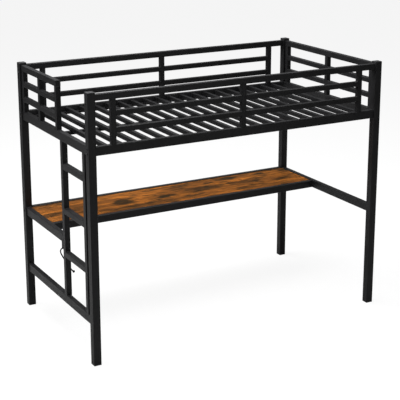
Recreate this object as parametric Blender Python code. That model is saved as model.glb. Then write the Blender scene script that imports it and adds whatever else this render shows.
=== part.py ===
"""Loft bed with desk: square steel tube frame, slatted bed deck, end ladder and a wood desk board.

Metres, +Z up.  X runs along the bed, Y from the open front to the back.
The origin is on the floor, at the middle of the footprint.
"""
import math

import bmesh
import bpy
from mathutils import Matrix, Vector

# ---- driving dimensions -----------------------------------------------------------------
BED_LENGTH = 1.980          # over the outer faces of the posts
BED_WIDTH = 1.080
POST = 0.046                # side of the square post tube
POST_TOP = 1.586            # the post tube ends here, and the cap sits on it
CAP_THICK = 0.008
FOOT_THICK = 0.008
PLUG_DEPTH = 0.020          # how far a cap or a foot reaches into the post

TUBE = 0.030                # depth of every rail, and side of the guard and ladder tubes
RAIL_HEIGHT = 0.052
TOP_RAIL_HEIGHT = 0.0363
DESK_RAIL_HEIGHT = 0.050
DESK_FRONT_HEIGHT = 0.046
LADDER_TUBE = 0.034          # side of the ladder's uprights and rungs
WALL = 0.0012
POST_WALL = 0.0012
CHAMFER = 0.002             # broken corner of a tube
END_PLATE = 0.004

BED_RAIL_Z = 1.2365         # underside of the bed's side and end rails
BOTTOM_RAIL_Z = 0.2375
DESK_RAIL_Z = 0.6155
TOP_RAIL_Z = 1.5442
GUARD_BAR_Z = (1.354, 1.449)
RUNG_Z = (0.530, 0.800, 1.070)

GUARD_UPRIGHT_X = 0.833     # middle of the outer uprights of the long guards
END_GUARD_GAP = 0.006       # between a post and the end guard's outer upright
LEFT_GUARD_END_Y = -0.072   # where the left guard stops and the ladder entry starts
LADDER_Y = (-0.457, -0.138) # front faces of the two ladder uprights

SLATS = 20
SLAT_WIDTH = 0.023
SLAT_HEIGHT = 0.025
SLAT_WALL = 0.001
SLAT_TOP_Z = 1.282
CENTRE_RAIL_HEIGHT = 0.020
LEDGE = 0.018               # shelf inside a rail that the slats or the board rest on
LEDGE_THICK = 0.003

DESK_FRONT_Y = 0.121        # front face of the desk
BOARD_TOP_Z = 0.661
BOARD_THICK = 0.015
BOARD_GAP = 0.001

BOLT_HEAD = 0.014
BOLT_HEAD_HEIGHT = 0.003
BOLT_SHANK = 0.008
BOLT_PAST_PLATE = 0.006
SIDE_BOLT_Z = (1.252, 1.276)
DESK_BOLT_Z = 0.640
GUARD_BOLT_Z = 1.529
GUARD_LUG_DROP = 0.026      # how far the long guard's end plate hangs below the top rail

HOOK_Y = -0.057             # the hook hangs under the desk's left rail, beside the ladder
HOOK_WIRE = 0.008
HOOK_BALL = 0.016
HOOK_TAB = (0.003, 0.020, 0.0565)
HOOK_SIDES = 8
# middle line of the hook wire in its upright plane: (X, Z)
HOOK_PATH = (
    (-0.9655, 0.5660), (-0.9705, 0.5612), (-0.9765, 0.5570), (-0.9805, 0.5512), (-0.9815, 0.5440),
    (-0.9790, 0.5317), (-0.9715, 0.5152), (-0.9608, 0.4943), (-0.9470, 0.4695), (-0.9320, 0.4440),
    (-0.9180, 0.4215), (-0.9095, 0.4105), (-0.9012, 0.4023),
)

GAP = 0.0003                # clearance between pieces that touch
ROUND = 16                  # sides of a bolt, a bolt hole or the hook's ball

# ---- derived places -----------------------------------------------------------------------
POST_X = BED_LENGTH / 2 - POST              # inner face of a post
POST_Y = BED_WIDTH / 2 - POST
INSET = (POST - TUBE) / 2                   # rails run along the middle of the posts
END_OUT = BED_LENGTH / 2 - INSET            # outer and inner faces of the end rails
END_IN = END_OUT - TUBE
SIDE_OUT = BED_WIDTH / 2 - INSET            # outer and inner faces of the side rails
SIDE_IN = SIDE_OUT - TUBE
BED_RAIL_TOP = BED_RAIL_Z + RAIL_HEIGHT
SLAT_Z = SLAT_TOP_Z - SLAT_HEIGHT

STEEL_BLACK = (0.035, 0.035, 0.037, 1.0)
STEEL_SLAT = (0.042, 0.042, 0.044, 1.0)
PLASTIC_BLACK = (0.018, 0.018, 0.019, 1.0)
WOOD_BROWN = (0.27, 0.115, 0.035, 1.0)
ZINC_BLACK = (0.06, 0.06, 0.065, 1.0)

CORNERS = {
    "front_left": (-1, -1),
    "front_right": (1, -1),
    "back_right": (1, 1),
    "back_left": (-1, 1),
}


# ---- scene, materials and mesh helpers ------------------------------------------------------
def clear_scene():
    for old in list(bpy.data.objects):
        bpy.data.objects.remove(old, do_unlink=True)


def make_material(name, colour, roughness, metallic):
    mat = bpy.data.materials.new(name)
    mat.use_nodes = True
    shader = mat.node_tree.nodes["Principled BSDF"]
    shader.inputs["Base Color"].default_value = colour
    shader.inputs["Roughness"].default_value = roughness
    shader.inputs["Metallic"].default_value = metallic
    return mat


def add_object(name, bm, mat):
    bmesh.ops.recalc_face_normals(bm, faces=bm.faces)
    mesh = bpy.data.meshes.new(name)
    bm.to_mesh(mesh)
    bm.free()
    if mat is not None:
        mesh.materials.append(mat)
    obj = bpy.data.objects.new(name, mesh)
    bpy.context.scene.collection.objects.link(obj)
    return obj


def hide_helper(obj):
    obj.hide_render = True
    obj.display_type = "WIRE"


def box_spans(low, high, axis):
    """Split a box into its run along one axis and its section across it."""
    across = [i for i in range(3) if i != axis]
    return (low[axis], high[axis]), [(low[i], high[i]) for i in across], across


def section_ring(bm, axis, station, across, spans, chamfer):
    """Eight vertices of a rectangle with cut corners, in the plane of one station."""
    (a0, a1), (b0, b1) = spans
    c = chamfer
    points = (
        (a0 + c, b0), (a1 - c, b0), (a1, b0 + c), (a1, b1 - c),
        (a1 - c, b1), (a0 + c, b1), (a0, b1 - c), (a0, b0 + c),
    )
    ring = []
    for a, b in points:
        co = [0.0, 0.0, 0.0]
        co[axis] = station
        co[across[0]] = a
        co[across[1]] = b
        ring.append(bm.verts.new(co))
    return ring


def join_rings(bm, first, second):
    count = len(first)
    for i in range(count):
        j = (i + 1) % count
        bm.faces.new((first[i], first[j], second[j], second[i]))


def bar_mesh(bm, low, high, axis, chamfer=CHAMFER):
    """A solid bar with cut corners along its length."""
    run, spans, across = box_spans(low, high, axis)
    start = section_ring(bm, axis, run[0], across, spans, chamfer)
    end = section_ring(bm, axis, run[1], across, spans, chamfer)
    join_rings(bm, start, end)
    bm.faces.new(start)
    bm.faces.new(end)


def tube_mesh(bm, low, high, axis, wall=WALL, chamfer=CHAMFER):
    """An open-ended square tube."""
    run, spans, across = box_spans(low, high, axis)
    inner = [(a + wall, b - wall) for a, b in spans]
    rings = []
    for station in run:
        outside = section_ring(bm, axis, station, across, spans, chamfer)
        inside = section_ring(bm, axis, station, across, inner, chamfer / 2)
        join_rings(bm, outside, inside)
        rings.append((outside, inside))
    join_rings(bm, rings[0][0], rings[1][0])
    join_rings(bm, rings[0][1], rings[1][1])


def bar(name, low, high, axis, mat, chamfer=CHAMFER):
    bm = bmesh.new()
    bar_mesh(bm, low, high, axis, chamfer)
    return add_object(name, bm, mat)


def tube(name, low, high, axis, mat, wall=WALL):
    bm = bmesh.new()
    tube_mesh(bm, low, high, axis, wall)
    return add_object(name, bm, mat)


def bore_of(low, high, axis, run, wall=WALL):
    """The hollow of a tube between two stations, as a helper bar."""
    inner_low = [v + wall for v in low]
    inner_high = [v - wall for v in high]
    inner_low[axis], inner_high[axis] = run
    return tuple(inner_low), tuple(inner_high)


def rod_mesh(bm, centre, radius, length, axis_vector, sides=ROUND):
    """A round rod around a centre, along any axis."""
    turn = Vector((0, 0, 1)).rotation_difference(Vector(axis_vector)).to_matrix().to_4x4()
    bmesh.ops.create_cone(
        bm, cap_ends=True, cap_tris=False, segments=sides, radius1=radius, radius2=radius,
        depth=length, matrix=Matrix.Translation(centre) @ turn)


def combine(obj, helpers, operation):
    """Add or cut all helpers at once with one exact Boolean."""
    group = bpy.data.collections.new(obj.name + "_" + operation.lower())
    bpy.context.scene.collection.children.link(group)
    for helper in helpers:
        bpy.context.scene.collection.objects.unlink(helper)
        group.objects.link(helper)
        hide_helper(helper)
    mod = obj.modifiers.new(operation.title(), "BOOLEAN")
    mod.operation = operation
    mod.operand_type = "COLLECTION"
    mod.collection = group
    mod.solver = "EXACT"


def weldment(name, outers, bores, mat, holes=()):
    """Join bars into one piece, then cut their hollows and holes, which run into each other."""
    base = bar(name, *outers[0], mat)
    if len(outers) > 1:
        parts = [bar(f"{name}_bar_{i}", *spec, None) for i, spec in enumerate(outers[1:])]
        combine(base, parts, "UNION")
    cutters = [bar(f"{name}_bore_{i}", *spec, None, CHAMFER / 2) for i, spec in enumerate(bores)]
    for i, (centre, radius, length, axis_vector) in enumerate(holes):
        bm = bmesh.new()
        rod_mesh(bm, centre, radius, length, axis_vector)
        cutters.append(add_object(f"{name}_hole_{i}", bm, None))
    combine(base, cutters, "DIFFERENCE")
    return base


# ---- posts, caps and feet -------------------------------------------------------------------
def corner_box(sx, sy, z0, z1, side=POST):
    """A square column centred on a post."""
    cx = sx * (BED_LENGTH / 2 - POST / 2)
    cy = sy * (BED_WIDTH / 2 - POST / 2)
    half = side / 2
    return (cx - half, cy - half, z0), (cx + half, cy + half, z1)


def bolt_heights(sy):
    """Heights of the bolts through a post: two for the side rail, and at the back one for the desk."""
    return SIDE_BOLT_Z + ((DESK_BOLT_Z,) if sy > 0 else ())


def build_posts(steel):
    for corner, (sx, sy) in CORNERS.items():
        low, high = corner_box(sx, sy, FOOT_THICK + GAP, POST_TOP)
        post = tube("post_" + corner, low, high, 2, steel, POST_WALL)
        middle_x = (low[0] + high[0]) / 2
        middle_y = (low[1] + high[1]) / 2
        holes = []
        for i, z in enumerate(bolt_heights(sy)):
            bm = bmesh.new()
            rod_mesh(bm, (middle_x, middle_y, z), BOLT_SHANK / 2 + GAP, POST * 1.5, (1, 0, 0))
            holes.append(add_object(f"post_{corner}_hole_{i}", bm, None))
        combine(post, holes, "DIFFERENCE")


def build_plug(name, sx, sy, flange, plug, plastic):
    low, high = corner_box(sx, sy, *flange)
    piece = bar(name, low, high, 2, plastic)
    side = POST - 2 * POST_WALL - 2 * GAP
    low, high = corner_box(sx, sy, *plug, side)
    combine(piece, [bar(name + "_plug", low, high, 2, None)], "UNION")


def build_caps_and_feet(plastic):
    cap_z = (POST_TOP + GAP, POST_TOP + CAP_THICK)
    foot_z = (0.0, FOOT_THICK)
    overlap = CAP_THICK / 2
    for corner, (sx, sy) in CORNERS.items():
        build_plug("post_cap_" + corner, sx, sy, cap_z, (POST_TOP - PLUG_DEPTH, POST_TOP + overlap), plastic)
        build_plug("foot_" + corner, sx, sy, foot_z, (FOOT_THICK - overlap, FOOT_THICK + PLUG_DEPTH), plastic)


# ---- bed deck -------------------------------------------------------------------------------
def build_side_rail(name, sy, steel):
    """A rail between two posts: tube, end plates with bolt holes, and the shelf for the slats."""
    run = (-POST_X + GAP, POST_X - GAP)
    y0, y1 = sorted((sy * SIDE_IN, sy * SIDE_OUT))
    low = (run[0], y0, BED_RAIL_Z)
    high = (run[1], y1, BED_RAIL_TOP)
    shelf_y = sorted((sy * (SIDE_IN - LEDGE), sy * (SIDE_IN + WALL / 2)))
    shelf_top = SLAT_Z - GAP
    shelf = ((-END_IN + LEDGE, shelf_y[0], shelf_top - LEDGE_THICK), (END_IN - LEDGE, shelf_y[1], shelf_top), 0)
    bore = bore_of(low, high, 0, (run[0] + END_PLATE, run[1] - END_PLATE))
    holes = []
    for sx in (-1, 1):
        for z in SIDE_BOLT_Z:
            centre = (sx * POST_X, sy * (BED_WIDTH / 2 - POST / 2), z)
            holes.append((centre, BOLT_SHANK / 2 + GAP, END_PLATE * 4, (1, 0, 0)))
    rail = weldment(name, [(low, high, 0)], [(*bore, 0)], steel, holes)
    combine(rail, [bar(name + "_shelf", *shelf, None, LEDGE_THICK / 6)], "UNION")


def build_end_rail(name, sx, z0, height, steel, y_run=(-POST_Y + GAP, POST_Y - GAP)):
    x0, x1 = sorted((sx * END_IN, sx * END_OUT))
    tube(name, (x0, y_run[0], z0), (x1, y_run[1], z0 + height), 1, steel)


def build_centre_rail(steel):
    half = TUBE / 2
    run = END_IN - GAP
    top = SLAT_Z - GAP
    tube("centre_support_rail", (-run, -half, top - CENTRE_RAIL_HEIGHT), (run, half, top), 0, steel)


def build_slats(steel):
    """Tubes across the bed, evenly shared out between the end rails."""
    pitch = 2 * END_IN / (SLATS + 1)
    reach = SIDE_IN - GAP
    for i in range(SLATS):
        x = -END_IN + pitch * (i + 1)
        low = (x - SLAT_WIDTH / 2, -reach, SLAT_Z)
        high = (x + SLAT_WIDTH / 2, reach, SLAT_TOP_Z)
        tube(f"slat_{i + 1:02d}", low, high, 1, steel, SLAT_WALL)


# ---- guards ---------------------------------------------------------------------------------
def upright_centres(first, last):
    return (first, (first + last) / 2, last)


def guard_parts(axis, faces, top_run, uprights):
    """Bars and hollows of a guard: top rail, uprights and two bars between the outer uprights."""
    def place(run, z_span):
        low, high = [0.0, 0.0, z_span[0]], [0.0, 0.0, z_span[1]]
        low[axis], high[axis] = run
        low[1 - axis], high[1 - axis] = faces
        return tuple(low), tuple(high)

    half = TUBE / 2
    foot = BED_RAIL_TOP + GAP
    top = (TOP_RAIL_Z, TOP_RAIL_Z + TOP_RAIL_HEIGHT)
    bar_run = (uprights[0], uprights[-1])
    outers = [(*place(top_run, top), axis)]
    bores = []
    for centre in uprights:
        low, high = place((centre - half, centre + half), (foot, TOP_RAIL_Z + WALL / 2))
        outers.append((low, high, 2))
        bores.append((*bore_of(low, high, 2, (foot - WALL, TOP_RAIL_Z + TOP_RAIL_HEIGHT / 2)), 2))
    for z in GUARD_BAR_Z:
        low, high = place(bar_run, (z, z + TUBE))
        outers.append((low, high, axis))
        bores.append((*bore_of(low, high, axis, bar_run), axis))
    return outers, bores


def build_long_guard(name, sy, steel):
    """Front or back guard: its top rail ends in plates that are bolted to the posts."""
    faces = tuple(sorted((sy * SIDE_IN, sy * SIDE_OUT)))
    run = (-POST_X + GAP, POST_X - GAP)
    outers, bores = guard_parts(0, faces, run, upright_centres(-GUARD_UPRIGHT_X, GUARD_UPRIGHT_X))
    low, high, _ = outers[0]
    bores.append((*bore_of(low, high, 0, (run[0] + END_PLATE, run[1] - END_PLATE)), 0))
    holes = []
    for sx in (-1, 1):
        x0, x1 = sorted((sx * run[1], sx * (run[1] - END_PLATE)))
        lug_low = (x0, faces[0], TOP_RAIL_Z - GUARD_LUG_DROP)
        lug_high = (x1, faces[1], TOP_RAIL_Z + TOP_RAIL_HEIGHT / 2)
        outers.append((lug_low, lug_high, 2))
        centre = (sx * run[1], (faces[0] + faces[1]) / 2, GUARD_BOLT_Z)
        holes.append((centre, BOLT_SHANK / 2 + GAP, END_PLATE * 4, (1, 0, 0)))
    weldment(name, outers, bores, steel, holes)


def build_end_guard(name, sx, first_y, steel):
    """Left or right guard, from first_y to the back post."""
    half = TUBE / 2
    last_y = POST_Y - END_GUARD_GAP
    faces = tuple(sorted((sx * END_IN, sx * END_OUT)))
    run = (first_y, last_y)
    outers, bores = guard_parts(1, faces, run, upright_centres(first_y + half, last_y - half))
    low, high, _ = outers[0]
    bores.append((*bore_of(low, high, 1, (run[0] + WALL, run[1] - WALL)), 1))
    weldment(name, outers, bores, steel)


# ---- ladder and hook --------------------------------------------------------------------------
def build_ladder(steel):
    """Two uprights and three rungs between the bottom rail and the bed's end rail."""
    x0, x1 = -END_OUT, -END_OUT + LADDER_TUBE
    z0 = BOTTOM_RAIL_Z + RAIL_HEIGHT + GAP
    z1 = BED_RAIL_Z - GAP
    outers = []
    bores = []
    for y in LADDER_Y:
        low, high = (x0, y, z0), (x1, y + LADDER_TUBE, z1)
        outers.append((low, high, 2))
        bores.append((*bore_of(low, high, 2, (z0 - WALL, z1 + WALL)), 2))
    half = LADDER_TUBE / 2
    rung_run = (LADDER_Y[0] + half, LADDER_Y[1] + half)
    for z in RUNG_Z:
        low, high = (x0, rung_run[0], z), (x1, rung_run[1], z + LADDER_TUBE)
        outers.append((low, high, 1))
        bores.append((*bore_of(low, high, 1, rung_run), 1))
    weldment("ladder", outers, bores, steel)


def wire_mesh(bm, path, y, radius):
    """A round wire along a path in the plane of one Y."""
    rings = []
    for i, (x, z) in enumerate(path):
        before = path[max(i - 1, 0)]
        after = path[min(i + 1, len(path) - 1)]
        along = Vector((after[0] - before[0], 0.0, after[1] - before[1])).normalized()
        side = Vector((-along.z, 0.0, along.x))
        ring = []
        for k in range(HOOK_SIDES):
            angle = 2 * math.pi * (k + 0.5) / HOOK_SIDES
            offset = side * math.cos(angle) + Vector((0, 1, 0)) * math.sin(angle)
            ring.append(bm.verts.new(Vector((x, y, z)) + offset * radius))
        rings.append(ring)
    for first, second in zip(rings, rings[1:]):
        join_rings(bm, first, second)
    bm.faces.new(rings[0])
    bm.faces.new(rings[-1])


def build_hook(steel):
    """Tab under the desk's left rail, a wire bent round under it, and a ball on the wire's end."""
    thick, wide, tall = HOOK_TAB
    top = DESK_RAIL_Z - GAP
    middle = -(END_OUT + END_IN) / 2
    low = (middle - thick / 2, HOOK_Y - wide / 2, top - tall)
    high = (middle + thick / 2, HOOK_Y + wide / 2, top)
    hook = bar("bag_hook", low, high, 2, steel, thick / 6)
    bm = bmesh.new()
    wire_mesh(bm, HOOK_PATH, HOOK_Y, HOOK_WIRE / 2)
    wire = add_object("bag_hook_wire", bm, None)
    tip = HOOK_PATH[-1]
    bm = bmesh.new()
    bmesh.ops.create_uvsphere(bm, u_segments=ROUND, v_segments=ROUND // 2, radius=HOOK_BALL / 2,
                              matrix=Matrix.Translation((tip[0], HOOK_Y, tip[1])))
    combine(hook, [wire, add_object("bag_hook_ball", bm, None)], "UNION")


# ---- desk -------------------------------------------------------------------------------------
def build_desk(steel, wood):
    z0, z1 = DESK_RAIL_Z, DESK_RAIL_Z + DESK_RAIL_HEIGHT
    build_end_rail("desk_left_rail", -1, z0, DESK_RAIL_HEIGHT, steel,
                   (LADDER_Y[1] + LADDER_TUBE + GAP, POST_Y - GAP))
    build_end_rail("desk_right_rail", 1, z0, DESK_RAIL_HEIGHT, steel)

    board_z = BOARD_TOP_Z - BOARD_THICK
    shelf_z = (board_z - GAP - LEDGE_THICK, board_z - GAP)
    front = ((-END_IN + GAP, DESK_FRONT_Y, z0), (END_IN - GAP, DESK_FRONT_Y + TUBE, z0 + DESK_FRONT_HEIGHT))
    rail = tube("desk_front_rail", *front, 0, steel)
    inner = DESK_FRONT_Y + TUBE
    shelf = bar("desk_front_shelf", (front[0][0] + LEDGE, inner - WALL / 2, shelf_z[0]),
                (front[1][0] - LEDGE, inner + LEDGE, shelf_z[1]), 0, None, LEDGE_THICK / 6)
    combine(rail, [shelf], "UNION")

    run = (-POST_X + GAP, POST_X - GAP)
    low, high = (run[0], SIDE_IN, z0), (run[1], SIDE_OUT, z1)
    holes = []
    for sx in (-1, 1):
        centre = (sx * POST_X, BED_WIDTH / 2 - POST / 2, DESK_BOLT_Z)
        holes.append((centre, BOLT_SHANK / 2 + GAP, END_PLATE * 4, (1, 0, 0)))
    bore = bore_of(low, high, 0, (run[0] + END_PLATE, run[1] - END_PLATE))
    back = weldment("desk_back_rail", [(low, high, 0)], [(*bore, 0)], steel, holes)
    shelf = bar("desk_back_shelf", (run[0] + LEDGE, SIDE_IN - LEDGE, shelf_z[0]),
                (run[1] - LEDGE, SIDE_IN + WALL / 2, shelf_z[1]), 0, None, LEDGE_THICK / 6)
    combine(back, [shelf], "UNION")
    build_board(wood, board_z)


def build_board(wood, board_z):
    """Desk board, with its back corners notched round the posts."""
    front_y = DESK_FRONT_Y + TUBE + BOARD_GAP
    back_y = SIDE_IN - BOARD_GAP
    wide = END_IN - BOARD_GAP
    narrow = POST_X - BOARD_GAP
    notch_y = POST_Y - BOARD_GAP
    outline = (
        (-wide, front_y), (wide, front_y), (wide, notch_y), (narrow, notch_y),
        (narrow, back_y), (-narrow, back_y), (-narrow, notch_y), (-wide, notch_y),
    )
    bm = bmesh.new()
    face = bm.faces.new([bm.verts.new((x, y, board_z)) for x, y in outline])
    lifted = bmesh.ops.extrude_face_region(bm, geom=[face])["geom"]
    tops = [v for v in lifted if isinstance(v, bmesh.types.BMVert)]
    bmesh.ops.translate(bm, verts=tops, vec=(0, 0, BOARD_THICK))
    add_object("desk_board", bm, wood)


# ---- bolts --------------------------------------------------------------------------------------
def build_bolt(name, sx, sy, z, zinc):
    """A round-headed bolt along X through a post and into the end plate of a rail."""
    y = sy * (BED_WIDTH / 2 - POST / 2)
    face = BED_LENGTH / 2 + GAP
    head_end = face + BOLT_HEAD_HEIGHT
    tip = POST_X - GAP - END_PLATE - BOLT_PAST_PLATE
    bm = bmesh.new()
    rod_mesh(bm, (sx * (face + head_end) / 2, y, z), BOLT_HEAD / 2, BOLT_HEAD_HEIGHT, (sx, 0, 0))
    bolt = add_object(name, bm, zinc)
    bm = bmesh.new()
    inside = face + BOLT_HEAD_HEIGHT / 2
    rod_mesh(bm, (sx * (inside + tip) / 2, y, z), BOLT_SHANK / 2, inside - tip, (sx, 0, 0))
    combine(bolt, [add_object(name + "_shank", bm, None)], "UNION")


def build_bolts(zinc):
    for corner, (sx, sy) in CORNERS.items():
        for label, z in zip(("lower", "upper"), SIDE_BOLT_Z):
            build_bolt(f"side_rail_bolt_{corner}_{label}", sx, sy, z, zinc)
        if sy > 0:
            build_bolt(f"desk_bolt_{corner}", sx, sy, DESK_BOLT_Z, zinc)


# ---- the whole bed ------------------------------------------------------------------------------
def main():
    clear_scene()
    steel = make_material("black_steel", STEEL_BLACK, 0.45, 0.0)
    slat_steel = make_material("slat_steel", STEEL_SLAT, 0.5, 0.0)
    plastic = make_material("black_plastic", PLASTIC_BLACK, 0.55, 0.0)
    wood = make_material("rustic_wood", WOOD_BROWN, 0.55, 0.0)
    zinc = make_material("black_zinc", ZINC_BLACK, 0.35, 1.0)

    build_posts(steel)
    build_caps_and_feet(plastic)
    build_side_rail("front_side_rail", -1, steel)
    build_side_rail("back_side_rail", 1, steel)
    build_end_rail("left_end_rail", -1, BED_RAIL_Z, RAIL_HEIGHT, steel)
    build_end_rail("right_end_rail", 1, BED_RAIL_Z, RAIL_HEIGHT, steel)
    build_end_rail("left_bottom_rail", -1, BOTTOM_RAIL_Z, RAIL_HEIGHT, steel)
    build_centre_rail(slat_steel)
    build_slats(slat_steel)
    build_long_guard("front_guard", -1, steel)
    build_long_guard("back_guard", 1, steel)
    build_end_guard("left_guard", -1, LEFT_GUARD_END_Y, steel)
    build_end_guard("right_guard", 1, -POST_Y + END_GUARD_GAP, steel)
    build_ladder(steel)
    build_hook(steel)
    build_desk(steel, wood)
    build_bolts(zinc)


main()
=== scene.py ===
# %% [markdown]
# # Loft bed with desk
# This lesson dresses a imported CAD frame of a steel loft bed: square tubes with rounded corners, welded
# guards and a welded ladder, plastic caps and feet, bolts, a bent-wire hook and a rustic wood desk board.
# The frame comes in finished and to size, so every place below is read from it or matches its drawing.

import math

import bmesh
import bpy
from mathutils import Matrix, Vector


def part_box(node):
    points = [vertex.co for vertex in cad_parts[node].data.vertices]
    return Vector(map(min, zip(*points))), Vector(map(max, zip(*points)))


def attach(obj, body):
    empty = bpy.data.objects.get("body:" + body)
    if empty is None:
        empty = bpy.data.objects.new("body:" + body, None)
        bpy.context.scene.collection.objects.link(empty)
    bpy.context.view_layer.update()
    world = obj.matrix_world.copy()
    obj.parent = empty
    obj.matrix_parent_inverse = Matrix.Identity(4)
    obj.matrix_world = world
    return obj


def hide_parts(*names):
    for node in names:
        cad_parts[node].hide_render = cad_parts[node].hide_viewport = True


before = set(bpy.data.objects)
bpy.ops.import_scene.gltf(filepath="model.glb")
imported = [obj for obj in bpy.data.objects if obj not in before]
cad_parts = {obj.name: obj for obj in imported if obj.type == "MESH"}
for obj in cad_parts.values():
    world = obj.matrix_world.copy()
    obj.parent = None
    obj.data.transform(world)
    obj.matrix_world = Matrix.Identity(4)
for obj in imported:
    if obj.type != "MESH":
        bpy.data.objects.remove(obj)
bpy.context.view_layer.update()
print("nodes", len(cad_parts))

# %% [markdown]
# ## The camera
# A bed this long is best seen from well back through a long lens, so that its far end doesn't shrink.
# The lens is shifted a little, which moves the whole bed to the middle of the picture without tilting it.

# %% Place the camera
CAMERA_PLACE = (-3.326, -5.975, 2.824)
CAMERA_TURN = (math.radians(75.05), 0.0, math.radians(-29.22))
lens = bpy.data.cameras.new("camera")
lens.lens = 101.0
lens.sensor_width = 36.0
lens.shift_x = -0.005
lens.shift_y = -0.113
camera = bpy.data.objects.new("camera", lens)
camera.location = CAMERA_PLACE
camera.rotation_euler = CAMERA_TURN
bpy.context.scene.collection.objects.link(camera)
bpy.context.scene.camera = camera
print("camera", round(Vector(CAMERA_PLACE).length, 2), "m from the middle of the floor")

# %% [markdown]
# ## Floor and light
# The bed stands on a plain pale floor. Black steel shows its shape only by what it reflects, so there is
# one large soft light over it, one at the left for the end frames, a weak one in front, and one low behind
# that glances off the top faces. The surroundings stay dim for the steel, although the backdrop is white.
# For the same reason the floor glows for the camera only, and sends little light back up.

# %% Floor
WHITE = (1.0, 1.0, 1.0, 1.0)
FLOOR_HALF = 40.0
FLOOR_GLOW = 0.9
FLOOR_GREY = (0.30, 0.30, 0.30, 1.0)
FLOOR_GREY_SEEN = (0.10, 0.10, 0.10, 1.0)
# A Mix node has its own sockets for each kind of value, so they are picked by their places.
MIX_FACTOR, MIX_COLOURS, MIX_COLOUR_OUT = 0, (6, 7), 2
MIX_NUMBERS, MIX_NUMBER_OUT = (2, 3), 0


def new_object(name, bm, *materials):
    """Give a finished bmesh an object at the origin."""
    mesh = bpy.data.meshes.new(name)
    bm.to_mesh(mesh)
    bm.free()
    for material in materials:
        mesh.materials.append(material)
    obj = bpy.data.objects.new(name, mesh)
    bpy.context.scene.collection.objects.link(obj)
    return obj


bm = bmesh.new()
bmesh.ops.create_grid(bm, x_segments=1, y_segments=1, size=FLOOR_HALF)
floor = new_object("floor", bm)

floor_material = bpy.data.materials.new("pale_floor")
floor_material.use_nodes = True
tree = floor_material.node_tree
shader = tree.nodes["Principled BSDF"]
shader.inputs["Roughness"].default_value = 0.9
shader.inputs["Specular IOR Level"].default_value = 0.0
shader.inputs["Emission Color"].default_value = WHITE
seen = tree.nodes.new("ShaderNodeLightPath")
lift = tree.nodes.new("ShaderNodeMath")
lift.operation = "MULTIPLY"
lift.inputs[1].default_value = FLOOR_GLOW
tree.links.new(seen.outputs["Is Camera Ray"], lift.inputs[0])
tree.links.new(lift.outputs[0], shader.inputs["Emission Strength"])
shade = tree.nodes.new("ShaderNodeMix")
shade.data_type = "RGBA"
for socket, grey in zip(MIX_COLOURS, (FLOOR_GREY, FLOOR_GREY_SEEN)):
    shade.inputs[socket].default_value = grey
tree.links.new(seen.outputs["Is Camera Ray"], shade.inputs[MIX_FACTOR])
tree.links.new(shade.outputs[MIX_COLOUR_OUT], shader.inputs["Base Color"])
floor.data.materials.append(floor_material)
print("floor", 2 * FLOOR_HALF, "m wide")

# %% Lights
SURROUNDINGS = 0.06
BACKDROP = 1.0
LIGHTS = {
    # name: (place, aimed at, size, watts)
    "top_light": ((-0.8, 0.6, 5.2), (0.0, 0.0, 1.2), 4.0, 600.0),
    "left_light": ((-6.0, 1.8, 3.0), (-0.6, 0.2, 1.1), 3.0, 110.0),
    "front_light": ((1.5, -6.5, 2.6), (0.0, 0.0, 0.8), 3.0, 45.0),
    "back_light": ((4.2, 6.5, 3.6), (0.2, -0.2, 1.5), 3.5, 7.0),
}
for name, (place, target, size, watts) in LIGHTS.items():
    light = bpy.data.lights.new(name, "AREA")
    light.shape = "SQUARE"
    light.size = size
    light.energy = watts
    lamp = bpy.data.objects.new(name, light)
    lamp.location = place
    lamp.rotation_euler = (Vector(target) - Vector(place)).to_track_quat("-Z", "Y").to_euler()
    bpy.context.scene.collection.objects.link(lamp)

world = bpy.data.worlds.new("studio")
bpy.context.scene.world = world
world.use_nodes = True
tree = world.node_tree
tree.nodes.clear()
dim = tree.nodes.new("ShaderNodeBackground")
dim.inputs["Color"].default_value = WHITE
dim.inputs["Strength"].default_value = SURROUNDINGS
bright = tree.nodes.new("ShaderNodeBackground")
bright.inputs["Color"].default_value = WHITE
bright.inputs["Strength"].default_value = BACKDROP
seen = tree.nodes.new("ShaderNodeLightPath")
pick = tree.nodes.new("ShaderNodeMixShader")
output = tree.nodes.new("ShaderNodeOutputWorld")
tree.links.new(seen.outputs["Is Camera Ray"], pick.inputs["Fac"])
tree.links.new(dim.outputs["Background"], pick.inputs[1])
tree.links.new(bright.outputs["Background"], pick.inputs[2])
tree.links.new(pick.outputs["Shader"], output.inputs["Surface"])
bpy.context.scene.view_settings.view_transform = "Standard"
print("lights", ", ".join(LIGHTS))

# %% [markdown]
# ## Finishes shared by several pieces
# Powder coat is paint baked from dust. It levels out almost flat, but keeps a faint orange-peel texture
# and small changes of gloss. That effect is on the posts, the rails, the slats and the wire, so it is a
# node group that each finish uses with its own values.

# %% Helpers for node groups and materials
def group_with(name, inputs, outputs):
    """A new shader node group with named sockets, and its input and output nodes."""
    group = bpy.data.node_groups.new(name, "ShaderNodeTree")
    for label, kind, value in inputs:
        socket = group.interface.new_socket(label, in_out="INPUT", socket_type="NodeSocket" + kind)
        if value is not None:
            socket.default_value = value
    for label, kind in outputs:
        group.interface.new_socket(label, in_out="OUTPUT", socket_type="NodeSocket" + kind)
    return group, group.nodes.new("NodeGroupInput"), group.nodes.new("NodeGroupOutput")


def node(tree, kind, links=None, **settings):
    """Add a node, set its properties, and set or link its sockets."""
    made = tree.nodes.new(kind)
    for key, value in settings.items():
        setattr(made, key, value)
    for key, value in (links or {}).items():
        if isinstance(value, bpy.types.NodeSocket):
            tree.links.new(value, made.inputs[key])
        else:
            made.inputs[key].default_value = value
    return made


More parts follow.
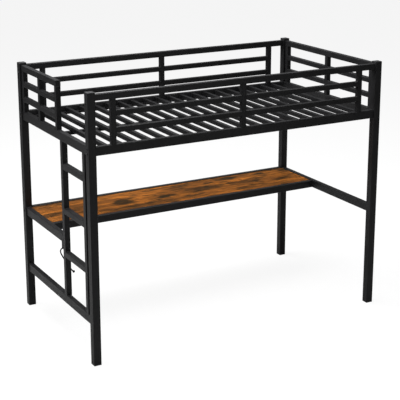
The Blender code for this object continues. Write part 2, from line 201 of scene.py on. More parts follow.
def blend(tree, factor, first, second):
    """Mix two colours, and give back the colour socket."""
    mix = tree.nodes.new("ShaderNodeMix")
    mix.data_type = "RGBA"
    for place, value in zip((MIX_FACTOR, *MIX_COLOURS), (factor, first, second)):
        if isinstance(value, bpy.types.NodeSocket):
            tree.links.new(value, mix.inputs[place])
        else:
            mix.inputs[place].default_value = value
    return mix.outputs[MIX_COLOUR_OUT]


def remap(tree, value, low, high, to_low, to_high):
    """Stretch one range of numbers to another, held at its ends."""
    return node(tree, "ShaderNodeMapRange", {
        "Value": value, "From Min": low, "From Max": high, "To Min": to_low, "To Max": to_high,
    }).outputs["Result"]


# %% Group: baked paint
paint, paint_in, paint_out = group_with(
    "baked_paint",
    [("Colour", "Color", (0.012, 0.012, 0.013, 1.0)), ("Worn Colour", "Color", (0.02, 0.02, 0.022, 1.0)),
     ("Smooth", "Float", 0.4), ("Rough", "Float", 0.5),
     ("Peel Size", "Float", 600.0), ("Peel Depth", "Float", 0.1)],
    [("Colour", "Color"), ("Roughness", "Float"), ("Normal", "Vector")])
place = node(paint, "ShaderNodeTexCoord").outputs["Object"]
cloud = node(paint, "ShaderNodeTexNoise", {"Vector": place, "Scale": 9.0, "Detail": 4.0}).outputs["Fac"]
speck = node(paint, "ShaderNodeTexNoise", {"Vector": place, "Scale": 260.0, "Detail": 2.0}).outputs["Fac"]
peel = node(paint, "ShaderNodeTexNoise", {
    "Vector": place, "Scale": paint_in.outputs["Peel Size"], "Detail": 2.0}).outputs["Fac"]
shade = remap(paint, cloud, 0.35, 0.7, 0.0, 0.6)
grain = remap(paint, speck, 0.3, 0.75, 0.0, 0.4)
both = node(paint, "ShaderNodeMath", {0: shade, 1: grain}, operation="ADD").outputs[0]
colour = blend(paint, both, paint_in.outputs["Colour"], paint_in.outputs["Worn Colour"])
gloss = node(paint, "ShaderNodeMix", {
    MIX_FACTOR: both, MIX_NUMBERS[0]: paint_in.outputs["Smooth"], MIX_NUMBERS[1]: paint_in.outputs["Rough"],
}).outputs[MIX_NUMBER_OUT]
bump = node(paint, "ShaderNodeBump", {
    "Height": peel, "Strength": paint_in.outputs["Peel Depth"], "Distance": 0.0004})
paint.links.new(colour, paint_out.inputs["Colour"])
paint.links.new(gloss, paint_out.inputs["Roughness"])
paint.links.new(bump.outputs["Normal"], paint_out.inputs["Normal"])
print("group", paint.name, "with", len(paint.nodes), "nodes")


# %% Painted and moulded finishes
def painted(name, colour, worn, smooth, rough, peel_size, peel_depth, specular, metallic=0.0):
    """A material whose look varies by the baked paint group."""
    material = bpy.data.materials.new(name)
    material.use_nodes = True
    tree = material.node_tree
    shader = tree.nodes["Principled BSDF"]
    shader.inputs["Specular IOR Level"].default_value = specular
    shader.inputs["Metallic"].default_value = metallic
    coat = tree.nodes.new("ShaderNodeGroup")
    coat.node_tree = paint
    for label, value in (("Colour", (*colour, 1.0)), ("Worn Colour", (*worn, 1.0)), ("Smooth", smooth),
                         ("Rough", rough), ("Peel Size", peel_size), ("Peel Depth", peel_depth)):
        coat.inputs[label].default_value = value
    for out, into in (("Colour", "Base Color"), ("Roughness", "Roughness"), ("Normal", "Normal")):
        tree.links.new(coat.outputs[out], shader.inputs[into])
    return material


black_steel = painted(
    "black_powder_coat", colour=(0.007, 0.007, 0.0075), worn=(0.013, 0.013, 0.014),
    smooth=0.38, rough=0.5, peel_size=700.0, peel_depth=0.25, specular=0.3)
slat_steel = painted(
    "slat_powder_coat", colour=(0.007, 0.007, 0.0075), worn=(0.012, 0.012, 0.013),
    smooth=0.45, rough=0.6, peel_size=700.0, peel_depth=0.3, specular=0.15)
weld_steel = painted(
    "painted_weld", colour=(0.007, 0.007, 0.0075), worn=(0.014, 0.014, 0.015),
    smooth=0.35, rough=0.5, peel_size=380.0, peel_depth=0.5, specular=0.3)
cap_plastic = painted(
    "moulded_plastic", colour=(0.016, 0.016, 0.017), worn=(0.024, 0.024, 0.025),
    smooth=0.5, rough=0.65, peel_size=900.0, peel_depth=0.5, specular=0.25)
bolt_steel = painted(
    "black_zinc", colour=(0.03, 0.03, 0.033), worn=(0.06, 0.06, 0.064),
    smooth=0.25, rough=0.4, peel_size=500.0, peel_depth=0.1, specular=0.5, metallic=0.9)
print("finishes", [m.name for m in (black_steel, slat_steel, weld_steel, cap_plastic, bolt_steel)])

# %% [markdown]
# ## The wood of the desk
# The desk board is a chipboard panel under a printed rustic-oak film. Its grain runs along the board. The
# colour goes from amber to umber in long streaks, with dark knots here and there, and fine lines run
# through all of it. The knots are soft ovals laid at their places, bent by noise so that none is regular.
# One more oval, narrow and drawn out across the grain near the left end, is no knot but a painted shadow
# line.

# %% Group: one soft dark oval, for a knot and for the painted shadow line
knot_and_shadow_group, knot_and_shadow_in, knot_and_shadow_out = group_with(
    "wood_knot",
    [("Place", "Vector", None), ("Middle", "Vector", (0.0, 0.0, 0.0)),
     ("Stretch", "Vector", (1.0, 1.0, 0.0)), ("Strength", "Float", 1.0)],
    [("Mask", "Float")])
away = node(knot_and_shadow_group, "ShaderNodeVectorMath", {
    0: knot_and_shadow_in.outputs["Place"], 1: knot_and_shadow_in.outputs["Middle"]}, operation="SUBTRACT")
oval = node(knot_and_shadow_group, "ShaderNodeVectorMath", {
    0: away.outputs[0], 1: knot_and_shadow_in.outputs["Stretch"]}, operation="MULTIPLY")
reach = node(knot_and_shadow_group, "ShaderNodeVectorMath", {0: oval.outputs[0]}, operation="LENGTH")
soft = node(knot_and_shadow_group, "ShaderNodeMapRange", {
    "Value": reach.outputs["Value"], "From Min": 1.35, "From Max": 0.45, "To Min": 0.0,
    "To Max": knot_and_shadow_in.outputs["Strength"]}, interpolation_type="SMOOTHSTEP")
knot_and_shadow_group.links.new(soft.outputs["Result"], knot_and_shadow_out.inputs["Mask"])
print("group", knot_and_shadow_group.name, "with", len(knot_and_shadow_group.nodes), "nodes")

# %% Wood material
KNOTS_AND_SHADOW = (
    # middle along and across the board, half length, half width, darkness
    (-0.877, 0.442, 0.045, 0.020, 0.55), (-0.850, 0.296, 0.035, 0.026, 0.5),
    # The second entry on the next line, at -0.775 and drawn out across the grain, is a painted shadow line,
    # not a knot.
    (-0.830, 0.495, 0.050, 0.018, 0.7), (-0.775, 0.455, 0.010, 0.060, 0.8),
    (-0.390, 0.305, 0.080, 0.062, 0.85), (-0.550, 0.205, 0.110, 0.024, 0.6),
    (-0.330, 0.200, 0.090, 0.030, 0.4), (-0.083, 0.296, 0.070, 0.030, 0.95),
    (0.087, 0.229, 0.080, 0.016, 0.8), (0.057, 0.420, 0.050, 0.040, 0.45),
    (0.213, 0.331, 0.160, 0.055, 0.75), (0.303, 0.429, 0.035, 0.018, 0.9),
    (0.400, 0.452, 0.050, 0.020, 0.7), (0.480, 0.462, 0.075, 0.036, 1.0),
    (0.427, 0.352, 0.026, 0.018, 1.0), (0.533, 0.382, 0.030, 0.012, 0.7),
    (0.460, 0.212, 0.060, 0.018, 0.5), (0.633, 0.212, 0.030, 0.012, 0.6),
    (0.730, 0.455, 0.050, 0.018, 0.95), (0.913, 0.455, 0.070, 0.028, 0.8),
    (0.830, 0.300, 0.060, 0.010, 0.3),
)
wood = bpy.data.materials.new("rustic_wood")
wood.use_nodes = True
tree = wood.node_tree
shader = tree.nodes["Principled BSDF"]
shader.inputs["Specular IOR Level"].default_value = 0.06
place = node(tree, "ShaderNodeTexCoord").outputs["Object"]


def streaks(scale_along, scale_across, detail=4.0, twist=0.0):
    """Noise drawn out along the board."""
    run = node(tree, "ShaderNodeMapping", {
        "Vector": place, "Scale": (scale_along, scale_across, scale_across)})
    return node(tree, "ShaderNodeTexNoise", {
        "Vector": run.outputs["Vector"], "Scale": 1.0, "Detail": detail, "Distortion": twist,
    }).outputs["Fac"]


bands = streaks(2.2, 16.0, 3.0, 0.6)
lines = streaks(6.0, 60.0, 6.0, 0.8)
patches = streaks(4.5, 13.0, 4.0, 1.2)
fibres = streaks(14.0, 130.0, 4.0, 0.3)
pores = streaks(30.0, 900.0, 3.0)
warp = node(tree, "ShaderNodeTexNoise", {"Vector": place, "Scale": 16.0, "Detail": 5.0})
shove = node(tree, "ShaderNodeVectorMath", {
    0: warp.outputs["Color"], 1: (0.5, 0.5, 0.5)}, operation="SUBTRACT").outputs[0]
push = node(tree, "ShaderNodeVectorMath", {0: shove, 1: (0.11, 0.045, 0.0)}, operation="MULTIPLY").outputs[0]
bent = node(tree, "ShaderNodeVectorMath", {0: place, 1: push}, operation="ADD").outputs[0]
flat = node(tree, "ShaderNodeVectorMath", {0: bent, 1: (1.0, 1.0, 0.0)}, operation="MULTIPLY").outputs[0]
knot_and_shadow_mask = None
# Every entry darkens a soft oval: the knots, and the painted shadow line at -0.775.
for x, y, half_long, half_wide, strength in KNOTS_AND_SHADOW:
    knot = tree.nodes.new("ShaderNodeGroup")
    knot.node_tree = knot_and_shadow_group
    tree.links.new(flat, knot.inputs["Place"])
    knot.inputs["Middle"].default_value = (x, y, 0.0)
    knot.inputs["Stretch"].default_value = (1 / half_long, 1 / half_wide, 0.0)
    knot.inputs["Strength"].default_value = strength
    mask = knot.outputs["Mask"]
    if knot_and_shadow_mask is None:
        knot_and_shadow_mask = mask
    else:
        knot_and_shadow_mask = node(tree, "ShaderNodeMath", {0: knot_and_shadow_mask, 1: mask}, operation="MAXIMUM").outputs[0]


def product(first, second):
    """Two masks multiplied."""
    return node(tree, "ShaderNodeMath", {0: first, 1: second}, operation="MULTIPLY").outputs[0]


amber = (0.380, 0.124, 0.018, 1.0)
chestnut = (0.175, 0.060, 0.012, 1.0)
umber = (0.060, 0.027, 0.008, 1.0)
soot = (0.014, 0.012, 0.006, 1.0)
tone = blend(tree, remap(tree, bands, 0.38, 0.62, 0.0, 1.0), amber, chestnut)
tone = blend(tree, remap(tree, lines, 0.48, 0.64, 0.0, 0.85), tone, umber)
tone = blend(tree, remap(tree, fibres, 0.5, 0.64, 0.0, 0.55), tone, umber)
cluster = product(remap(tree, patches, 0.48, 0.60, 0.0, 1.0), remap(tree, fibres, 0.42, 0.56, 0.1, 0.9))
tone = blend(tree, cluster, tone, soot)
# The knots and the painted shadow line go to soot, broken up by the fibres.
inked_knot_and_shadow = product(knot_and_shadow_mask, remap(tree, fibres, 0.35, 0.6, 0.7, 1.3))
tone = blend(tree, inked_knot_and_shadow, tone, soot)
tone = blend(tree, remap(tree, pores, 0.55, 0.8, 0.0, 0.5), tone, umber)
tree.links.new(tone, shader.inputs["Base Color"])
tree.links.new(remap(tree, lines, 0.3, 0.7, 0.55, 0.7), shader.inputs["Roughness"])
emboss = node(tree, "ShaderNodeBump", {"Height": pores, "Strength": 0.25, "Distance": 0.0005})
tree.links.new(emboss.outputs["Normal"], shader.inputs["Normal"])
# The count takes in the painted shadow line.
print("knots", len(KNOTS_AND_SHADOW))

# %% [markdown]
# ## Square tube
# Almost everything here is square or oblong tube. A mill rolls it from strip, so its long corners are round
# and its sides are flat. A cube stretched to the tube's box, with only its long edges bevelled, gives that
# section.
# Weighted normals then keep the flat sides flat in the light while the corners shade round.

# %% Helpers for tube
NEAR = 1e-6
SHARP_ANGLE = math.radians(50)
EVEN_ROUND = 0.5


def stretched_cube(bm, low, high):
    """A cube stretched to a box. Returns its new vertices."""
    size = Vector(high) - Vector(low)
    middle = (Vector(high) + Vector(low)) / 2
    stretch = Matrix.Translation(middle) @ Matrix.Diagonal((*size, 1.0))
    return bmesh.ops.create_cube(bm, size=1.0, matrix=stretch)["verts"]


def edges_of(verts):
    """All the edges that touch some vertices."""
    return list({e for v in verts for e in v.link_edges})


def runs_along(edge, axis):
    """Whether an edge is parallel to an axis."""
    step = edge.verts[1].co - edge.verts[0].co
    return abs(step[axis]) > 0.999 * step.length


def at_height(items, z):
    """The edges or faces that lie flat at one height."""
    return [item for item in items if all(abs(v.co.z - z) < NEAR for v in item.verts)]


def round_edges(bm, edges, size, segments):
    """Round some edges off."""
    bmesh.ops.bevel(bm, geom=edges, offset=size, offset_type="OFFSET", segments=segments,
                    profile=EVEN_ROUND, affect="EDGES", material=-1)


def add_bar(bm, low, high, axis, corner=0.0025, segments=3, ends=0.0):
    """A bar from low to high. Its long corners are rounded, or all its edges by ends if that is given."""
    edges = edges_of(stretched_cube(bm, low, high))
    if not ends:
        edges = [e for e in edges if runs_along(e, axis)]
    round_edges(bm, edges, ends or corner, segments)


def paint_from(bm, start, index):
    """Give the faces made since a count of faces another of the piece's materials."""
    bm.faces.ensure_lookup_table()
    for face in bm.faces[start:]:
        face.material_index = index


def finish_piece(name, bm, materials, stands_for=()):
    """Name a piece, smooth its corners only, and tie it to the frame."""
    for face in bm.faces:
        face.smooth = True
    for edge in bm.edges:
        if len(edge.link_faces) == 2 and edge.calc_face_angle() > SHARP_ANGLE:
            edge.smooth = False
    piece = new_object(name, bm, *materials)
    flat = piece.modifiers.new("flat sides", "WEIGHTED_NORMAL")
    flat.keep_sharp = True
    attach(piece, "root")
    if stands_for:
        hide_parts(*stands_for)
    return piece


# %% [markdown]
# ## Posts, rails and slats
# These are plain lengths of tube, so each is made straight from the box of its CAD node.

# %% Posts
CORNERS = ("front_left", "front_right", "back_left", "back_right")
POST_CORNER = 0.003
for corner in CORNERS:
    low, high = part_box("post_" + corner)
    bm = bmesh.new()
    add_bar(bm, low, high, 2, POST_CORNER, 4)
    finish_piece("corner_post_" + corner, bm, [black_steel], ["post_" + corner])
print("posts", len(CORNERS), "height", round(high[2], 3))


# %% [markdown]
# ## Caps and feet
# A moulded plug closes each end of a post. Its rim is as wide as the post, and its edges are rounded so
# that nobody is scratched. The top of a cap is slightly crowned, and the sole of a foot is slightly hollow.

# %% Caps and feet
CAP_CROWN = 0.0006
SOLE_HOLLOW = 0.001
RIM_ROUND = 0.002
MIDDLE_SHARE = 0.55
PLUG_WALL = 0.0016
PLUG_LAP = 0.001
PLUG_CORNER = 0.0015
SEAM = 0.0003


def add_plug(bm, low, high, rim_low, rim_high, is_cap):
    """A rim as wide as the post, crowned or hollowed on its outer side, and a narrower plug behind it."""
    top = rim_high - CAP_CROWN if is_cap else rim_high
    level = top if is_cap else rim_low
    verts = stretched_cube(bm, (low[0], low[1], rim_low), (high[0], high[1], top))
    round_edges(bm, [e for e in edges_of(verts) if runs_along(e, 2)], POST_CORNER, 4)
    rim = {e for face in at_height(bm.faces, level) for e in face.edges}
    round_edges(bm, list(rim), RIM_ROUND, 3)
    outer = at_height(bm.faces, level)
    centre = bmesh.ops.extrude_discrete_faces(bm, faces=outer)["faces"][0]
    about = Matrix.Translation((-(low[0] + high[0]) / 2, -(low[1] + high[1]) / 2, 0.0))
    bmesh.ops.scale(bm, verts=centre.verts, vec=(MIDDLE_SHARE, MIDDLE_SHARE, 1.0), space=about)
    bmesh.ops.translate(bm, verts=centre.verts, vec=(0, 0, CAP_CROWN if is_cap else SOLE_HOLLOW))
    plug_low = low[2] if is_cap else rim_high - PLUG_LAP
    plug_high = rim_low + PLUG_LAP if is_cap else high[2]
    add_bar(bm, (low[0] + PLUG_WALL, low[1] + PLUG_WALL, plug_low),
            (high[0] - PLUG_WALL, high[1] - PLUG_WALL, plug_high), 2, PLUG_CORNER, 2)


for corner in CORNERS:
    low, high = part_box("post_cap_" + corner)
    post_low, post_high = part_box("post_" + corner)
    bm = bmesh.new()
    add_plug(bm, low, high, post_high[2] + SEAM, high[2], True)
    finish_piece("cap_" + corner, bm, [cap_plastic], ["post_cap_" + corner])
    low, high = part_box("foot_" + corner)
    bm = bmesh.new()
    add_plug(bm, low, high, low[2], post_low[2] - SEAM, False)
    finish_piece("glide_" + corner, bm, [cap_plastic], ["foot_" + corner])

# %% [markdown]
# ## Weld beads
# Where one tube ends on another, a welder runs a bead along the corner between them. Under the paint it
# is a thin ripple with rounded ends. A ring of points is drawn out step by step, swelling and shrinking.

# %% Helpers for a weld bead
BEAD = 0.0022
BEAD_STEP = 0.0026
BEAD_SIDES = 8
BEAD_END = 0.5
BEAD_SWELL = 0.12
BEAD_SHORT = 0.004


def draw_ring(bm, ring, rise, scale):
    """Draw a ring of points out to a new one, moved along Z and scaled. Returns the new ring."""
    touching = {e for v in ring for e in v.link_edges}
    edges = [e for e in touching if e.verts[0] in ring and e.verts[1] in ring]
    grown = bmesh.ops.extrude_edge_only(bm, edges=edges)["geom"]
    fresh = [v for v in grown if isinstance(v, bmesh.types.BMVert)]
    bmesh.ops.translate(bm, verts=fresh, vec=(0, 0, rise))
    bmesh.ops.scale(bm, verts=fresh, vec=(scale, scale, 1.0))
    return fresh


def add_bead(bm, middle, axis, length, radius=BEAD):
    """A rippled bead along an axis, centred on a corner line."""
    steps = max(4, round(length / BEAD_STEP))
    direction = Vector([float(i == axis) for i in range(3)])
    turn = Vector((0, 0, 1)).rotation_difference(direction).to_matrix().to_4x4()
    size = radius * BEAD_END
    ring = bmesh.ops.create_circle(bm, cap_ends=True, segments=BEAD_SIDES, radius=size)["verts"]
    verts = list(ring)
    bmesh.ops.translate(bm, verts=ring, vec=(0, 0, -length / 2))
    for step in range(1, steps + 1):
        wanted = radius * (BEAD_END if step == steps else 1.0 + BEAD_SWELL * (-1) ** step)
        ring = draw_ring(bm, ring, length / steps, wanted / size)
        verts += ring
        size = wanted
    bmesh.ops.contextual_create(bm, geom=ring)
    bmesh.ops.transform(bm, verts=verts, matrix=Matrix.Translation(middle) @ turn)
    faces = list({f for v in verts for f in v.link_faces})
    bmesh.ops.recalc_face_normals(bm, faces=faces)
    for face in faces:
        face.material_index = 1


def weld_end(bm, low, high, axis, at_high, flush=None):
    """Beads round the end of a tube, except where it is flush with what it meets and has no corner."""
    place = high[axis] if at_high else low[axis]
    across = [i for i in range(3) if i != axis]
    for side in across:
        if side == flush:
            continue
        along = across[0] if across[1] == side else across[1]
        for edge in (low[side], high[side]):
            middle = [0.0, 0.0, 0.0]
            middle[axis] = place
            middle[side] = edge
            middle[along] = (low[along] + high[along]) / 2
            add_bead(bm, middle, along, high[along] - low[along] - BEAD_SHORT)


def weld_both_ends(bm, low, high, axis, flush=None):
    """Beads round both ends of a tube."""
    weld_end(bm, low, high, axis, False, flush)
    weld_end(bm, low, high, axis, True, flush)


# %% [markdown]
# ## Rails
# The end rails, the bottom rail and the desk's side and front rails are welded to what they meet. The long
# side rails and the desk's back rail are bolted, so that the bed comes apart into flat pieces. The long
# side rails, and the desk's front and back rails, have a thin shelf welded inside them, for the ends of the
# slats or the edges of the board to rest on.

# %% Welded rails
TUBE = 0.030
LAP = 0.0005
WELDED_RAILS = {
    # node: axis on which its front end is flush with what it meets
    "left_end_rail": None,
    "right_end_rail": None,
    "left_bottom_rail": None,
    "desk_left_rail": 0,
    "desk_right_rail": None,
}
for rail, flush in WELDED_RAILS.items():
    low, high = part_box(rail)
    bm = bmesh.new()
    add_bar(bm, low, high, 1)
    weld_end(bm, low, high, 1, False, flush)
    weld_end(bm, low, high, 1, True)
    finish_piece(rail + "_tube", bm, [black_steel, weld_steel], [rail])

low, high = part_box("centre_support_rail")
bm = bmesh.new()
add_bar(bm, low, high, 0, 0.002)
weld_both_ends(bm, low, high, 0)
finish_piece("centre_rail_tube", bm, [slat_steel, weld_steel], ["centre_support_rail"])
print("welded rails", len(WELDED_RAILS) + 1)

# %% Rails with a shelf
SHELF_THICK = 0.003
SHELF_EASE = 0.0006
SHELF_GAP = 0.0003
SHELF_SHORT = 0.018
SHELF_BEADS = 12
FIRST_BEAD = 0.06
SHELF_BEAD_LENGTH = 0.03
SHELF_BEAD = 0.0018
slat_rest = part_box("slat_01")[0][2]
board_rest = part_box("desk_board")[0][2]
SHELVED_RAILS = {
    # node: (side of the tube where the shelf is, underside of what rests on it, welded ends)
    "front_side_rail": (1, slat_rest, False),
    "back_side_rail": (-1, slat_rest, False),
    "desk_front_rail": (1, board_rest, True),
    "desk_back_rail": (-1, board_rest, False),
}
for rail, (inward, rest, welded) in SHELVED_RAILS.items():
    low, high = (Vector(v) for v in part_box(rail))
    tube_low, tube_high = low.copy(), high.copy()
    shelf_low, shelf_high = low.copy(), high.copy()
    if inward > 0:
        tube_high.y = low.y + TUBE
        shelf_low.y = tube_high.y - LAP
    else:
        tube_low.y = high.y - TUBE
        shelf_high.y = tube_low.y + LAP
    shelf_low.z, shelf_high.z = rest - SHELF_GAP - SHELF_THICK, rest - SHELF_GAP
    shelf_low.x, shelf_high.x = low.x + SHELF_SHORT, high.x - SHELF_SHORT
    bm = bmesh.new()
    add_bar(bm, tube_low, tube_high, 0)
    add_bar(bm, shelf_low, shelf_high, 0, ends=SHELF_EASE, segments=2)
    face = tube_high.y if inward > 0 else tube_low.y
    spread = shelf_high.x - shelf_low.x - 2 * FIRST_BEAD
    for i in range(SHELF_BEADS):
        x = shelf_low.x + FIRST_BEAD + i * spread / (SHELF_BEADS - 1)
        add_bead(bm, (x, face, shelf_low.z), 0, SHELF_BEAD_LENGTH, SHELF_BEAD)
    if welded:
        weld_both_ends(bm, tube_low, tube_high, 0, 2)
    finish_piece(rail + "_tube", bm, [black_steel, weld_steel], [rail])
print("rails with a shelf", len(SHELVED_RAILS))

# %% [markdown]
# ## Slats
# The slats are lighter square tube, laid on the shelves. Each end is closed with a small plastic plug, so
# that it doesn't rattle on the steel.

# %% Slats
SLAT_PLUG = 0.006
PLUG_PROUD = 0.0006
SLATS = sorted(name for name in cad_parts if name.startswith("slat_"))
for name in SLATS:
    low, high = (Vector(v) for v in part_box(name))
    bm = bmesh.new()
    add_bar(bm, low, high, 1, 0.002, 3)
    for y in (low.y, high.y):
        start = len(bm.faces)
        inner = y - math.copysign(SLAT_PLUG, y)
        plug_low = (low.x - PLUG_PROUD, min(y, inner), low.z)
        plug_high = (high.x + PLUG_PROUD, max(y, inner), high.z + PLUG_PROUD)
        add_bar(bm, plug_low, plug_high, 1, ends=PLUG_CORNER, segments=2)
        paint_from(bm, start, 1)
    finish_piece(name + "_tube", bm, [slat_steel, cap_plastic], [name])

# %% [markdown]
# ## Guards
# A guard is a flat frame: a deeper top rail, uprights under it, and two bars from the first upright to
# the last. The bars are cut to length and welded between the uprights, so each is made as separate runs.

# %% Helper for a guard
TOP_RAIL_Z = 1.5442
GUARD_BARS = (1.354, 1.449)


def span(axis, run, faces, heights):
    """Corners of a box from its run along an axis, its faces across it, and its heights."""
    low, high = [0.0, 0.0, heights[0]], [0.0, 0.0, heights[1]]
    low[axis], high[axis] = run
    low[1 - axis], high[1 - axis] = faces
    return low, high


def add_guard(bm, axis, faces, top_run, uprights, foot, top, welded_foot):
    """Top rail, uprights and bars, with their beads."""
    low, high = span(axis, top_run, faces, (TOP_RAIL_Z, top))
    add_bar(bm, low, high, axis)
    half = TUBE / 2
    level = 1 - axis
    for middle in uprights:
        low, high = span(axis, (middle - half, middle + half), faces, (foot, TOP_RAIL_Z + LAP))
        add_bar(bm, low, high, 2)
        weld_end(bm, low, [*high[:2], TOP_RAIL_Z], 2, True, level)
        if welded_foot:
            weld_end(bm, low, high, 2, False, level)
    for first, second in zip(uprights, uprights[1:]):
        for z in GUARD_BARS:
            run = (first + half, second - half)
            low, high = span(axis, run, faces, (z, z + TUBE))
            weld_both_ends(bm, low, high, axis, level)
            low[axis] -= LAP
            high[axis] += LAP
            add_bar(bm, low, high, axis)


# %% Long guards
LONG_UPRIGHTS = (-0.833, 0.0, 0.833)
LUG_DROP = 0.026
LUG_THICK = 0.004
LUG_LAP = 0.001
LUG_EASE = 0.001
for side in ("front", "back"):
    low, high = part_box(side + "_guard")
    bm = bmesh.new()
    add_guard(bm, 0, (low[1], high[1]), (low[0], high[0]), LONG_UPRIGHTS, low[2], high[2], False)
    for x in (low[0], high[0] - LUG_THICK):
        add_bar(bm, (x, low[1], TOP_RAIL_Z - LUG_DROP), (x + LUG_THICK, high[1], TOP_RAIL_Z + LUG_LAP), 2,
                ends=LUG_EASE, segments=2)
    finish_piece(side + "_guard_frame", bm, [black_steel, weld_steel], [side + "_guard"])
print("long guards", 2)

# %% End guards
for side in ("left", "right"):
    low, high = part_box(side + "_guard")
    bm = bmesh.new()
    first, last = low[1] + TUBE / 2, high[1] - TUBE / 2
    uprights = (first, (first + last) / 2, last)
    add_guard(bm, 1, (low[0], high[0]), (low[1], high[1]), uprights, low[2], high[2], True)
    finish_piece(side + "_guard_frame", bm, [black_steel, weld_steel], [side + "_guard"])
print("end guards", 2)

# %% [markdown]
# ## Ladder
# Two uprights stand on the bottom rail and reach the bed's end rail, with three rungs between them.

# %% Ladder
RUNGS = (0.530, 0.800, 1.070)
LADDER_TUBE = 0.034
low, high = (Vector(v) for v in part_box("ladder"))
bm = bmesh.new()
for y in (low.y, high.y - LADDER_TUBE):
    leg_low, leg_high = (low.x, y, low.z), (high.x, y + LADDER_TUBE, high.z)
    add_bar(bm, leg_low, leg_high, 2)
    weld_both_ends(bm, leg_low, leg_high, 2, 0)
for z in RUNGS:
    rung_low = [low.x, low.y + LADDER_TUBE, z]
    rung_high = [high.x, high.y - LADDER_TUBE, z + LADDER_TUBE]
    weld_both_ends(bm, rung_low, rung_high, 1, 0)
    rung_low[1] -= LAP
    rung_high[1] += LAP
    add_bar(bm, rung_low, rung_high, 1)
finish_piece("end_ladder", bm, [black_steel, weld_steel], ["ladder"])
print("rungs", len(RUNGS))

# %% [markdown]
# ## Bag hook
# The hook is one bent wire, welded to a small tab under the desk's left rail. It curls out under the tab
# and comes back in beside the ladder, and its end has a plastic ball. A curve with round handles gives
# the bends, and it is turned into a mesh so that the hook is one piece.

# %% Bag hook
HOOK_Y = -0.057
HOOK_WIRE = 0.008
BALL_RADIUS = 0.008
TAB_HALF_THICK = 0.0015
TAB_HALF_WIDE = 0.010
TAB_EASE = 0.0007
TAB_FOOT_Z = 0.5587
TAB_BEAD_LENGTH = 0.018
SAME_PLACE = 0.00001
HOOK_PATH = (
    (-0.9655, 0.5660), (-0.9705, 0.5612), (-0.9765, 0.5570), (-0.9805, 0.5512), (-0.9815, 0.5440),
    (-0.9790, 0.5317), (-0.9715, 0.5152), (-0.9608, 0.4943), (-0.9470, 0.4695), (-0.9320, 0.4440),
    (-0.9180, 0.4215), (-0.9095, 0.4105), (-0.9012, 0.4023),
)
curve = bpy.data.curves.new("hook_wire", "CURVE")
curve.dimensions = "3D"
spline = curve.splines.new("BEZIER")
spline.bezier_points.add(len(HOOK_PATH) - 1)
for point, (x, z) in zip(spline.bezier_points, HOOK_PATH):
    point.co = (x, HOOK_Y, z)
    point.handle_left_type = point.handle_right_type = "AUTO"
curve.bevel_depth = HOOK_WIRE / 2
curve.bevel_resolution = 3
curve.resolution_u = 5
curve.use_fill_caps = True
wire = bpy.data.objects.new("hook_wire", curve)
bpy.context.scene.collection.objects.link(wire)
bm = bmesh.new()
bm.from_mesh(wire.to_mesh())
wire.to_mesh_clear()
bpy.data.objects.remove(wire)
bmesh.ops.remove_doubles(bm, verts=bm.verts, dist=SAME_PLACE)
bmesh.ops.recalc_face_normals(bm, faces=bm.faces)
rail_low, rail_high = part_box("desk_left_rail")
tab_x = (rail_low[0] + rail_high[0]) / 2
tab_top = Vector(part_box("bag_hook")[1]).z
left, right = tab_x - TAB_HALF_THICK, tab_x + TAB_HALF_THICK
add_bar(bm, (left, HOOK_Y - TAB_HALF_WIDE, TAB_FOOT_Z), (right, HOOK_Y + TAB_HALF_WIDE, tab_top), 2,
        ends=TAB_EASE, segments=2)
for x in (left, right):
    add_bead(bm, (x, HOOK_Y, tab_top), 1, TAB_BEAD_LENGTH)
tip_x, tip_z = HOOK_PATH[-1]
start = len(bm.faces)
bmesh.ops.create_uvsphere(bm, u_segments=20, v_segments=12, radius=BALL_RADIUS,
                          matrix=Matrix.Translation((tip_x, HOOK_Y, tip_z)))
paint_from(bm, start, 2)
finish_piece("bag_hook_wire", bm, [black_steel, weld_steel, cap_plastic], ["bag_hook"])
print("hook reaches", round(tab_top - tip_z, 3), "m down")

# %% [markdown]
# ## Bolts
# The frame is held together with button-head bolts, driven with a hexagon key. A head starts as a circle
# that is drawn up and in to a dome, and its socket is the same ring pressed into a hexagon and sunk.

# %% Helper for a bolt head
HEAD_RADIUS = 0.007
HEAD_SIDES = 24
# How far each ring of the dome rises, and how much smaller it is than the ring before.
HEAD_RINGS = ((0.0007, 1.0), (0.0010, 0.94), (0.0008, 0.88), (0.0005, 0.76))
KEY_WIDTH = 0.004  # across the corners of the hexagon
SOCKET_DEPTH = 0.0018
SHANK_RADIUS = 0.004
SHANK_LENGTH = 0.02
SHANK_LAP = 0.0001


def add_bolt(bm, place, sign):
    """A button-head bolt whose head faces along X in the direction of sign."""
    ring = list(bmesh.ops.create_circle(bm, cap_ends=True, segments=HEAD_SIDES, radius=HEAD_RADIUS)["verts"])
    verts = list(ring)
    for rise, scale in HEAD_RINGS:
        ring = draw_ring(bm, ring, rise, scale)
        verts += ring
    ring = draw_ring(bm, ring, 0.0, KEY_WIDTH / (HEAD_RADIUS * math.prod(scale for _, scale in HEAD_RINGS)))
    verts += ring
    for vert in ring:
        angle = math.atan2(vert.co.y, vert.co.x) % (math.pi / 3) - math.pi / 6
        reach = KEY_WIDTH * 0.5 * math.sqrt(3) / 2 / math.cos(angle)
        vert.co.xy = vert.co.xy.normalized() * reach
    ring = draw_ring(bm, ring, -SOCKET_DEPTH, 1.0)
    verts += ring
    bmesh.ops.contextual_create(bm, geom=ring)
    sunk = Matrix.Translation((0, 0, SHANK_LAP - SHANK_LENGTH / 2))
    verts += bmesh.ops.create_cone(bm, cap_ends=True, segments=16, radius1=SHANK_RADIUS, radius2=SHANK_RADIUS,
                                   depth=SHANK_LENGTH, matrix=sunk)["verts"]
    turn = Matrix.Rotation(sign * math.pi / 2, 4, "Y")
    bmesh.ops.transform(bm, verts=verts, matrix=Matrix.Translation(place) @ turn)
    bmesh.ops.recalc_face_normals(bm, faces=bm.faces)


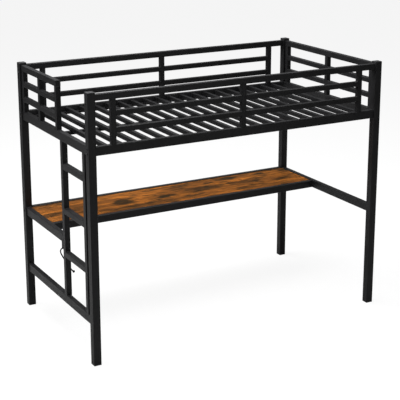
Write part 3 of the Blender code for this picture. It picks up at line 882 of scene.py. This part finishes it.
# %% Bolts
GUARD_BOLT_Z = 1.529
HEAD_GAP = 0.0003
BOLT_NODES = ("side_rail_bolt_", "desk_bolt_")
for corner in CORNERS:
    post_low, post_high = (Vector(v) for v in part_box("post_" + corner))
    sign = -1 if "left" in corner else 1
    face = (post_low.x if sign < 0 else post_high.x) + sign * HEAD_GAP
    y = (post_low.y + post_high.y) / 2
    nodes = [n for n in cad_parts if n.startswith(tuple(start + corner for start in BOLT_NODES))]
    for name in sorted(nodes):
        low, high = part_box(name)
        bm = bmesh.new()
        add_bolt(bm, (face, y, (low[2] + high[2]) / 2), sign)
        finish_piece(name + "_head", bm, [bolt_steel], [name])
    bm = bmesh.new()
    add_bolt(bm, (face, y, GUARD_BOLT_Z), sign)
    finish_piece("guard_bolt_" + corner + "_head", bm, [bolt_steel])

# %% [markdown]
# ## Desk board
# The board is let in between the rails, so its outline has a notch round each back post. It starts as
# that outline, drawn once and lifted to its thickness, and its upper edges are eased a little.

# %% Desk board
low, high = (Vector(v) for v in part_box("desk_board"))
post_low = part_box("post_back_right")[0]
NOTCH_GAP = 0.001
BOARD_EASE = 0.0012
notch_x = post_low[0] - NOTCH_GAP
notch_y = post_low[1] - NOTCH_GAP
outline = (
    (low.x, low.y), (high.x, low.y), (high.x, notch_y), (notch_x, notch_y),
    (notch_x, high.y), (-notch_x, high.y), (-notch_x, notch_y), (low.x, notch_y),
)
bm = bmesh.new()
face = bm.faces.new([bm.verts.new((x, y, low.z)) for x, y in outline])
lifted = bmesh.ops.extrude_face_region(bm, geom=[face])["geom"]
upper = [v for v in lifted if isinstance(v, bmesh.types.BMVert)]
bmesh.ops.translate(bm, verts=upper, vec=(0, 0, high.z - low.z))
bmesh.ops.recalc_face_normals(bm, faces=bm.faces)
round_edges(bm, at_height(bm.edges, high.z), BOARD_EASE, 3)
finish_piece("desk_board_panel", bm, [wood], ["desk_board"])
print("board", round(high.x - low.x, 3), "by", round(high.y - low.y, 3), "m")

# %% [markdown]
# ## Finish
# The visual model keeps to the CAD model's size.

# %% CAD nodes still shown
shown = [name for name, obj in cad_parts.items() if not obj.hide_render]
print("CAD nodes still shown", shown)
